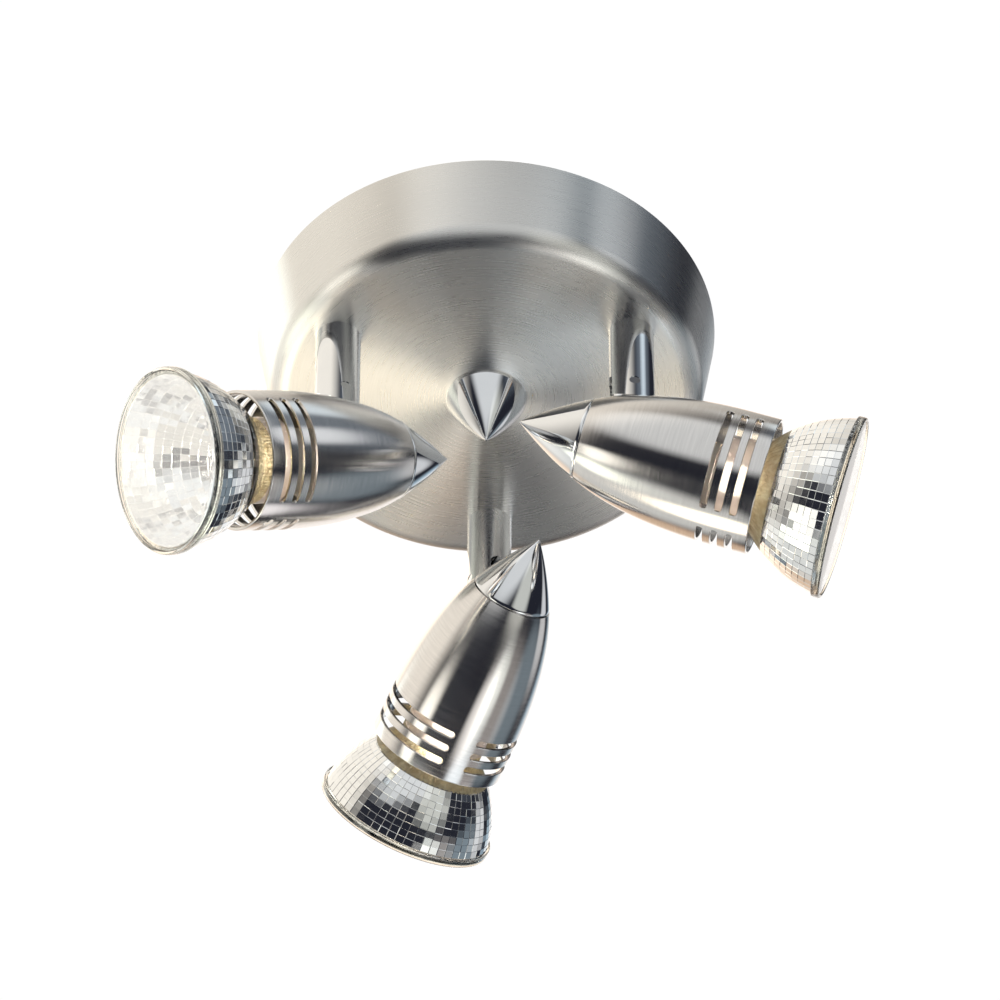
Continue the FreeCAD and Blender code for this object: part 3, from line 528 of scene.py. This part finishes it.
def ceiling_plate():
    """Spun dish with a rolled back edge, soft shoulder and holes for the arms."""
    inner_corner = PLATE_CORNER_RADIUS - PLATE_SHEET
    profile = rounded([
        (-PLATE_DEPTH + PLATE_SHEET, BOLT_HOLE_RADIUS),
        (-PLATE_DEPTH, BOLT_HOLE_RADIUS, 0.2),
        (-PLATE_DEPTH, PLATE_CORNER_RADIUS, SHOULDER_FILLET),
        (0, PLATE_BACK_RADIUS, 0.45),
        (0, PLATE_BACK_RADIUS - PLATE_SHEET, 0.45),
        (-PLATE_DEPTH + PLATE_SHEET, inner_corner, SHOULDER_FILLET - PLATE_SHEET),
        (-PLATE_DEPTH + PLATE_SHEET, BOLT_HOLE_RADIUS),
    ], 14)[:-1]
    place = upright_place(0)
    plate = make_piece("satin_ceiling_plate", lathe(profile, 256, True), place, MATERIALS["plate"])
    cutter = bmesh.new()
    to_own = place.inverted()
    for name in HEADS:
        spot = to_own @ Vector(joint("swivel_" + name)["pos_m"])
        cylinder_cutter(
            cutter, -PLATE_DEPTH + 0.5, spot.y / MM, spot.z / MM, ARM_HOLE_RADIUS, 4.0
        )
    bmesh.ops.recalc_face_normals(cutter, faces=cutter.faces)
    cut(plate, cutter)
    settle(plate, "ceiling_unit", "satin_steel", "ceiling_plate")


def cone_flank(length):
    """The convex flank and blunt tip of a cone, from its base to its tip."""
    tip_x = -length + CONE_TIP * 0.87
    shoulder = (-0.02 * length, CONE_RADIUS)
    flank = arc(shoulder, (-0.5 * length, 0.575 * CONE_RADIUS), (tip_x, CONE_TIP), 28)
    tip = [(tip_x - 0.5 * CONE_TIP, 0.87 * CONE_TIP), (-length, 0.5 * CONE_TIP), (-length, 0)]
    return flank + tip


def cone_profile(length, foot):
    """From the axis inside the foot, round the base edge and along the flank to the tip."""
    base = rounded([*foot, (0, CONE_RADIUS, 0.16), (-0.02 * length, CONE_RADIUS)], 4)
    return base[:-1] + cone_flank(length)


def finial():
    bore = [(-FINIAL_BORE_DEPTH, 0), (-FINIAL_BORE_DEPTH, FINIAL_BORE_RADIUS), (0, FINIAL_BORE_RADIUS)]
    profile = cone_profile(FINIAL_LENGTH, bore)
    piece = make_piece(
        "chrome_finial", lathe(profile), upright_place(-PLATE_DEPTH), MATERIALS["chrome"]
    )
    settle(piece, "ceiling_unit", "chrome", "finial_cone")


# ---------------------------------------------------------------- heads


def nose(inset, start_x, steps):
    """The barrel's elliptical nose, from the cone joint to the straight mouth."""
    long_axis = NOSE_ELLIPSE - inset
    first = math.acos((NOSE_LENGTH - start_x) / long_axis)
    points = []
    for i in range(steps + 1):
        angle = first + (math.pi / 2 - first) * i / steps
        points.append((NOSE_LENGTH - long_axis * math.cos(angle), (BARREL_RADIUS - inset) * math.sin(angle)))
    return points


def slot_outline(half_width, half_turn, radius):
    """(angle, half width) pairs along one slot, with round ends."""
    end_turn = math.degrees(half_width / radius)
    middle = half_turn - end_turn
    pairs = []
    for i in range(9):
        reach = math.radians(90 * (1 - i / 8))
        pairs.append((-middle - end_turn * math.sin(reach), half_width * math.cos(reach)))
    steps = 24
    pairs += [(-middle + 2 * middle * i / steps, half_width) for i in range(1, steps)]
    return pairs + [(-a, w) for a, w in reversed(pairs[:9])]


def slot_cutter(bm, x, middle_degrees):
    """One curved slot, a little wider at the barrel's outer face."""
    layers = (
        (BARREL_RADIUS - 3, 0), (BARREL_RADIUS - SLOT_CHAMFER, 0),
        (BARREL_RADIUS + 0.04, SLOT_CHAMFER), (BARREL_RADIUS + 2, SLOT_CHAMFER),
    )
    grids = []
    for radius, wider in layers:
        pairs = slot_outline(
            SLOT_HALF_WIDTH + wider, SLOT_HALF_TURN + math.degrees(wider / BARREL_RADIUS), BARREL_RADIUS
        )
        sides = []
        for sign in (1, -1):
            line = []
            for turned, width in pairs:
                angle = math.radians(middle_degrees + turned)
                line.append(Vector((x + sign * width, radius * math.cos(angle), radius * math.sin(angle))))
            sides.append(line)
        sides[1][0], sides[1][-1] = sides[0][0], sides[0][-1]
        upper = [bm.verts.new(p * MM) for p in sides[0]]
        lower = [upper[0]] + [bm.verts.new(p * MM) for p in sides[1][1:-1]] + [upper[-1]]
        grids.append((upper, lower))
    for upper, lower in (grids[0], grids[-1]):
        for i in range(len(upper) - 1):
            corners = dict.fromkeys((upper[i], upper[i + 1], lower[i + 1], lower[i]))
            bm.faces.new(list(corners))
    for inner, outer in zip(grids, grids[1:]):
        for k in (0, 1):
            for i in range(len(inner[k]) - 1):
                bm.faces.new((inner[k][i], inner[k][i + 1], outer[k][i + 1], outer[k][i]))


def box_cutter(bm, low, high):
    made = bmesh.ops.create_cube(bm, size=1.0)["verts"]
    for vert in made:
        vert.co = Vector([
            (high[k] if vert.co[k] > 0 else low[k]) * MM for k in range(3)
        ])


def barrel(name):
    """Thin spun shell with three groups of three vent slots and the knuckle's window."""
    outer = nose(0, BARREL_END_X, 40)
    inner = nose(BARREL_WALL, BARREL_END_X + 1.0, 32)
    lip = rounded([
        outer[-1], (BARREL_LENGTH, BARREL_RADIUS, 0.3),
        (BARREL_LENGTH, BARREL_RADIUS - BARREL_WALL, 0.3), inner[-1],
    ], 4)
    hole = CONE_FOOT_RADIUS + 0.05
    profile = [(BARREL_END_X, hole)] + outer[:-1] + lip + inner[-2::-1] + [(BARREL_END_X + 1.0, hole)]
    piece = make_piece(
        "satin_barrel_" + name, lathe(profile, 240, True), head_place(name), MATERIALS["barrel"]
    )
    cutter = bmesh.new()
    for x in SLOT_X:
        for group in range(3):
            slot_cutter(cutter, x, 90 + 120 * group)
    box_cutter(
        cutter,
        (PIVOT_X - WINDOW_HALF_LENGTH, -WINDOW_HALF_WIDTH, 9),
        (PIVOT_X + WINDOW_HALF_LENGTH, WINDOW_HALF_WIDTH, BARREL_RADIUS),
    )
    bmesh.ops.recalc_face_normals(cutter, faces=cutter.faces)
    cut(piece, cutter)
    settle(piece, "head_" + name, "satin_steel", "barrel_" + name)


def cone(name):
    """Pointed cap with a foot that goes into the barrel, and a shallow step behind its edge."""
    foot = [
        (CONE_FOOT_DEPTH, 0), (CONE_FOOT_DEPTH, CONE_FOOT_RADIUS), (BARREL_END_X, CONE_FOOT_RADIUS),
        (BARREL_END_X, CONE_RADIUS - CONE_WALL), (0, CONE_RADIUS - CONE_WALL),
    ]
    profile = cone_profile(CONE_LENGTH, foot)
    piece = make_piece("chrome_cone_" + name, lathe(profile), head_place(name), MATERIALS["chrome"])
    settle(piece, "head_" + name, "chrome", "cone_cap_" + name)


# ---------------------------------------------------------------- lamps


def facet_skin(bm, curve, start, rows, raise_by, unevenness, material_index):
    """Rows of raised, slightly uneven panes with sunk lines between them; returns its end rings."""
    fine = arc(*curve, 100)
    places = [fine[round(100 * (start + (1 - start) * i / rows))] for i in range(rows + 1)]
    rings = [ring(bm, x, r, FACET_COLUMNS) for x, r in places]
    for a, b in zip(rings, rings[1:]):
        for i in range(FACET_COLUMNS):
            j = (i + 1) % FACET_COLUMNS
            pane = bm.faces.new((a[i], a[j], b[j], b[i]))
            pane.normal_update()
            outward = pane.normal.dot(Vector((0, *pane.calc_center_median().yz))) > 0
            side = pane.normal * (MM if outward else -MM)
            first, second = (unevenness * (random.random() - 0.5) for _ in range(2))
            leans = (first + second, first - second, -first - second, second - first)
            corners = [v.co.copy() for v in pane.verts]
            middle = pane.calc_center_median()
            raised = []
            for corner, lean in zip(corners, leans):
                raised.append(bm.verts.new(corner.lerp(middle, PANE_INSET_SHARE) + side * (raise_by + lean)))
            around = list(pane.verts)
            bm.faces.remove(pane)
            made = [bm.faces.new(raised)]
            for k in range(4):
                n = (k + 1) % 4
                made.append(bm.faces.new((around[k], around[n], raised[n], raised[k])))
            for face in made:
                face.material_index = material_index
    return rings[0], rings[-1]


def bowl(name):
    """Mirrored glass bowl with facets inside and out."""
    bm = bmesh.new()
    outer_first, outer_last = facet_skin(
        bm, BOWL_OUTER, COLLAR_SHARE, FACET_ROWS, OUTER_PANE_RAISE, OUTER_PANE_UNEVENNESS, 0
    )
    inner_first, inner_last = facet_skin(
        bm, BOWL_INNER, 0, FACET_ROWS + 2, INNER_PANE_RAISE, INNER_PANE_UNEVENNESS, 1
    )
    turn(bm, [outer_first, inner_first], False)
    turn(bm, [outer_last, inner_last], False)
    bmesh.ops.recalc_face_normals(bm, faces=bm.faces)
    piece = make_piece("faceted_bowl_" + name, bm, head_place(name), MATERIALS["mirror"], 4.0)
    # the inner facets take the mirror coat with painted glow
    piece.data.materials.append(MATERIALS["painted_glow_mirror"])
    settle(piece, "lamp_" + name, "reflector_glass", "lamp_reflector_" + name)


def rim(name):
    """Rolled clear rim round the bowl's mouth."""
    profile = rounded([
        (RIM_START_X + 0.05, 23.6), (RIM_START_X + 0.05, 24.6, 0.2), (RIM_START_X, RIM_RADIUS, 0.6),
        (LAMP_FRONT_X, RIM_RADIUS, 0.9), (LAMP_FRONT_X, 24.35, 0.3), (LAMP_FRONT_X - 1.5, 24.35, 0.1),
        (LAMP_FRONT_X - 1.5, 23.4), (RIM_START_X + 0.05, 23.6),
    ])[:-1]
    piece = make_piece("clear_rim_" + name, lathe(profile, 192, True), head_place(name), MATERIALS["rim"])
    settle(piece, "lamp_" + name, "reflector_glass")


def neck(name):
    """Pale pressed neck between the collar and the lamp's foot."""
    profile = rounded([
        (COLLAR_START_X, 11.7), (44.0, 11.8, 0.8), (38.6, 11.5, 1.5), (37.2, 8.2), (37.2, 5.2),
        (38.4, 5.2), (39.0, 10.2, 1.0), (COLLAR_START_X, 10.3), (COLLAR_START_X, 11.7),
    ])[:-1]
    piece = make_piece("pale_neck_" + name, lathe(profile, 192, True), head_place(name), MATERIALS["pale"])
    settle(piece, "lamp_" + name, "reflector_glass")


def collar(name):
    """Amber ribbed glass where the coating thins out, from the neck up the back of the bowl."""
    back = arc(*BOWL_OUTER, 100)[: round(100 * COLLAR_SHARE)]
    inside = [(x + 0.2, r - 0.25) for x, r in reversed(back)]
    profile = [(COLLAR_START_X, 11.75), (48.6, 11.75)] + back + inside + [(COLLAR_START_X, 10.6)]
    bm = lathe(profile, 4 * COLLAR_RIBS, True)
    for vert in bm.verts:
        angle = math.atan2(vert.co.z, vert.co.y)
        factor = 1 + COLLAR_RIB_SHARE * math.cos(COLLAR_RIBS * angle)
        vert.co.y *= factor
        vert.co.z *= factor
    piece = make_piece("amber_collar_" + name, bm, head_place(name), MATERIALS["amber"], 60.0)
    settle(piece, "lamp_" + name, "reflector_glass")


def front_glass(name):
    """Cover glass with a slightly domed face and ground edges."""
    dome = [(LAMP_FRONT_X - 0.1 - 0.2 * (i / 12) ** 2, 23.7 * i / 12) for i in range(13)]
    profile = dome + [
        (LAMP_FRONT_X - 0.4, 24.15), (LAMP_FRONT_X - 0.6, 24.3),
        (LAMP_FRONT_X - 1.35, 24.3), (LAMP_FRONT_X - 1.5, 24.15), (LAMP_FRONT_X - 1.5, 0),
    ]
    piece = make_piece("cover_glass_" + name, lathe(profile), head_place(name), MATERIALS["clear"])
    settle(piece, "lamp_" + name, "clear_glass", "lamp_front_glass_" + name)


def capsule(name):
    """Lit halogen capsule with a pinched foot and a drawn tip."""
    profile = rounded([
        (33.2, 0), (33.2, 3.4), (39.0, 3.4, 0.6), (40.2, 4.1, 0.8), (54.0, 4.2, 2.0), (57.2, 1.4, 1.2),
        (58.0, 0.5, 0.3), (58.05, 0),
    ])
    piece = make_piece("lit_capsule_" + name, lathe(profile, 96), head_place(name), MATERIALS["lit"])
    settle(piece, "lamp_" + name, "clear_glass", "lamp_capsule_" + name)


# ---------------------------------------------------------------- carried-over CAD nodes


NODE_FINISH = {
    "mounting_bracket": "zinc", "centre_bolt": "zinc", "centre_nut": "zinc", "swivel_washers": "zinc",
    "terminal_block": "plastic", "terminal_inserts": "brass", "terminal_screws": "brass",
    "block_screw": "zinc", "earth_tag": "brass", "earth_screw": "zinc", "earth_lead": "earth",
    "live_leads": "brown", "neutral_leads": "blue", "arm_post": "chrome", "swivel_nut": "zinc",
    "pivot_pin": "chrome", "tilt_knuckle": "zinc", "knuckle_screw": "zinc", "holder_bracket": "zinc",
    "lampholder": "ceramic", "head_leads": "white", "lamp_base": "ceramic", "lamp_pins": "nickel",
}


def finish_nodes():
    """Gives each CAD node that stays its material, and the hidden ones a matching one."""
    for node, piece in frame["nodes"].items():
        stem = node
        for name in HEADS:
            stem = stem.removesuffix("_" + name)
        key = NODE_FINISH.get(stem, "chrome")
        piece.data.materials.clear()
        piece.data.materials.append(MATERIALS[key])


# ---------------------------------------------------------------- room, light and camera


def soft_spot(tree, point, under, azimuth, elevation, inner, outer, colour):
    """Adds a round soft patch of light to the room, towards one direction."""
    nodes, links = tree.nodes, tree.links
    az, el = math.radians(azimuth), math.radians(elevation)
    towards = nodes.new("ShaderNodeVectorMath")
    towards.operation = "DOT_PRODUCT"
    links.new(point, towards.inputs[0])
    towards.inputs[1].default_value = (math.cos(az) * math.cos(el), math.sin(az) * math.cos(el), math.sin(el))
    edge = nodes.new("ShaderNodeMapRange")
    edge.interpolation_type = "SMOOTHSTEP"
    links.new(towards.outputs["Value"], edge.inputs["Value"])
    edge.inputs["From Min"].default_value = math.cos(math.radians(outer))
    edge.inputs["From Max"].default_value = math.cos(math.radians(inner))
    mix = nodes.new("ShaderNodeMix")
    mix.data_type = "RGBA"
    mix.blend_type = "ADD"
    links.new(edge.outputs["Result"], mix.inputs["Factor"])
    if isinstance(under, tuple):
        mix.inputs[6].default_value = (*under, 1)
    else:
        links.new(under, mix.inputs[6])
    mix.inputs[7].default_value = (*colour, 1)
    return mix.outputs[2]


ROOM_BASE = (0.02, 0.022, 0.032)

# how far from its middle a patch of light is full, and how far it reaches, in degrees
SMALL = (6, 16)
MEDIUM = (12, 26)

# azimuth and elevation of a patch, the two reaches, and the light that it adds. Most of these values
# were not chosen by hand: a program fitted them to the brightness of the reflections in the reference.
# They break the rule against such tables, and a few plain soft patches set by hand should replace them.
ROOM = (
    # large soft patches; the first is the warm main light, high on the left
    (180, 45, 35, 70, (1.07, 1.01, 0.90)),
    (-32, 30, 10, 42, (0.17, 0.20, 0.23)),
    (138, -33, 23, 45, (0.76, 0.77, 0.74)),
    (-88, 6, 28, 46, (0.76, 0.78, 0.78)),
    (105, 30, 22, 44, (0.77, 0.56, 0.39)),
    # middling patches
    (25, -52, 14, 32, (0.36, 0.34, 0.32)),
    (-45, -30, *MEDIUM, (0.63, 0.64, 0.59)),
    (30, -15, *MEDIUM, (0.20, 0.25, 0.28)),
    (75, 30, *MEDIUM, (0.44, 0.59, 0.70)),
    # small lamps above the horizon
    (-30, 15, *SMALL, (0.91, 0.93, 0.94)),
    (30, 15, *SMALL, (0.72, 0.73, 0.74)),
    (-30, 60, *SMALL, (0.88, 1.00, 1.06)),
    (150, 30, *SMALL, (0.98, 1.16, 1.17)),
    # small lamps below the horizon
    (-165, -30, *SMALL, (2.05, 1.99, 1.79)),
    (165, -30, *SMALL, (1.40, 1.46, 1.16)),
    (120, -45, *SMALL, (2.87, 2.48, 1.81)),
    (68, -30, *SMALL, (1.40, 1.37, 1.38)),
    (60, -60, *SMALL, (1.02, 1.16, 1.25)),
    (0, -60, *SMALL, (0.92, 0.98, 0.93)),
    (0, -72, *SMALL, (1.20, 1.17, 1.12)),
)


def room():
    """A studio that only reflections and shading see; a plain white backdrop is seen directly."""
    world = bpy.data.worlds.new("studio")
    bpy.context.scene.world = world
    world.use_nodes = True
    tree = world.node_tree
    nodes, links = tree.nodes, tree.links
    point = nodes.new("ShaderNodeTexCoord").outputs["Generated"]
    colour = ROOM_BASE
    for spot in ROOM:
        colour = soft_spot(tree, point, colour, *spot)
    lit = nodes["Background"]
    links.new(colour, lit.inputs["Color"])
    plain = nodes.new("ShaderNodeBackground")
    plain.inputs["Color"].default_value = (1, 1, 1, 1)
    plain.inputs["Strength"].default_value = 1.02
    path = nodes.new("ShaderNodeLightPath")
    pick = nodes.new("ShaderNodeMixShader")
    links.new(path.outputs["Is Camera Ray"], pick.inputs[0])
    links.new(lit.outputs[0], pick.inputs[1])
    links.new(plain.outputs[0], pick.inputs[2])
    links.new(pick.outputs[0], nodes["World Output"].inputs["Surface"])


def floor():
    """A plain pale floor far below the fitting."""
    mesh = bpy.data.meshes.new("pale_floor")
    half = FLOOR_HALF
    mesh.from_pydata(
        [(-half, -half, FLOOR_Z), (half, -half, FLOOR_Z), (half, half, FLOOR_Z), (-half, half, FLOOR_Z)],
        [], [(0, 1, 2, 3)],
    )
    mesh.materials.append(plain_surface(
        "pale_floor", ((0.80, 0.79, 0.77), (0.84, 0.83, 0.81)), (0.6, 0.8), (3, 60), (0.05, 0.0005)
    ))
    piece = bpy.data.objects.new("pale_floor", mesh)
    bpy.context.scene.collection.objects.link(piece)
    piece.visible_glossy = False


def camera():
    az, el = math.radians(VIEW_AZIMUTH), math.radians(VIEW_ELEVATION)
    back = Vector((math.sin(az) * math.cos(el), -math.cos(az) * math.cos(el), math.sin(el)))
    right = (-back).cross(Vector((0, 0, 1))).normalized()
    up = right.cross(-back)
    data = bpy.data.cameras.new("view")
    data.lens = VIEW_LENS
    data.sensor_width = 36.0
    data.clip_end = 50.0
    piece = bpy.data.objects.new("view", data)
    aim = Vector((0, 0, -AIM_DEPTH)) + right * AIM_RIGHT + up * AIM_UP
    turned = Matrix((right, up, back)).transposed().to_4x4()
    piece.matrix_world = Matrix.Translation(aim + back * VIEW_DISTANCE) @ turned
    bpy.context.scene.collection.objects.link(piece)
    bpy.context.scene.camera = piece


random.seed(11)
finish_nodes()
ceiling_plate()
finial()
for head in HEADS:
    barrel(head)
    cone(head)
    bowl(head)
    rim(head)
    neck(head)
    collar(head)
    front_glass(head)
    capsule(head)
room()
floor()
camera()
bpy.context.scene.view_settings.view_transform = "Standard"
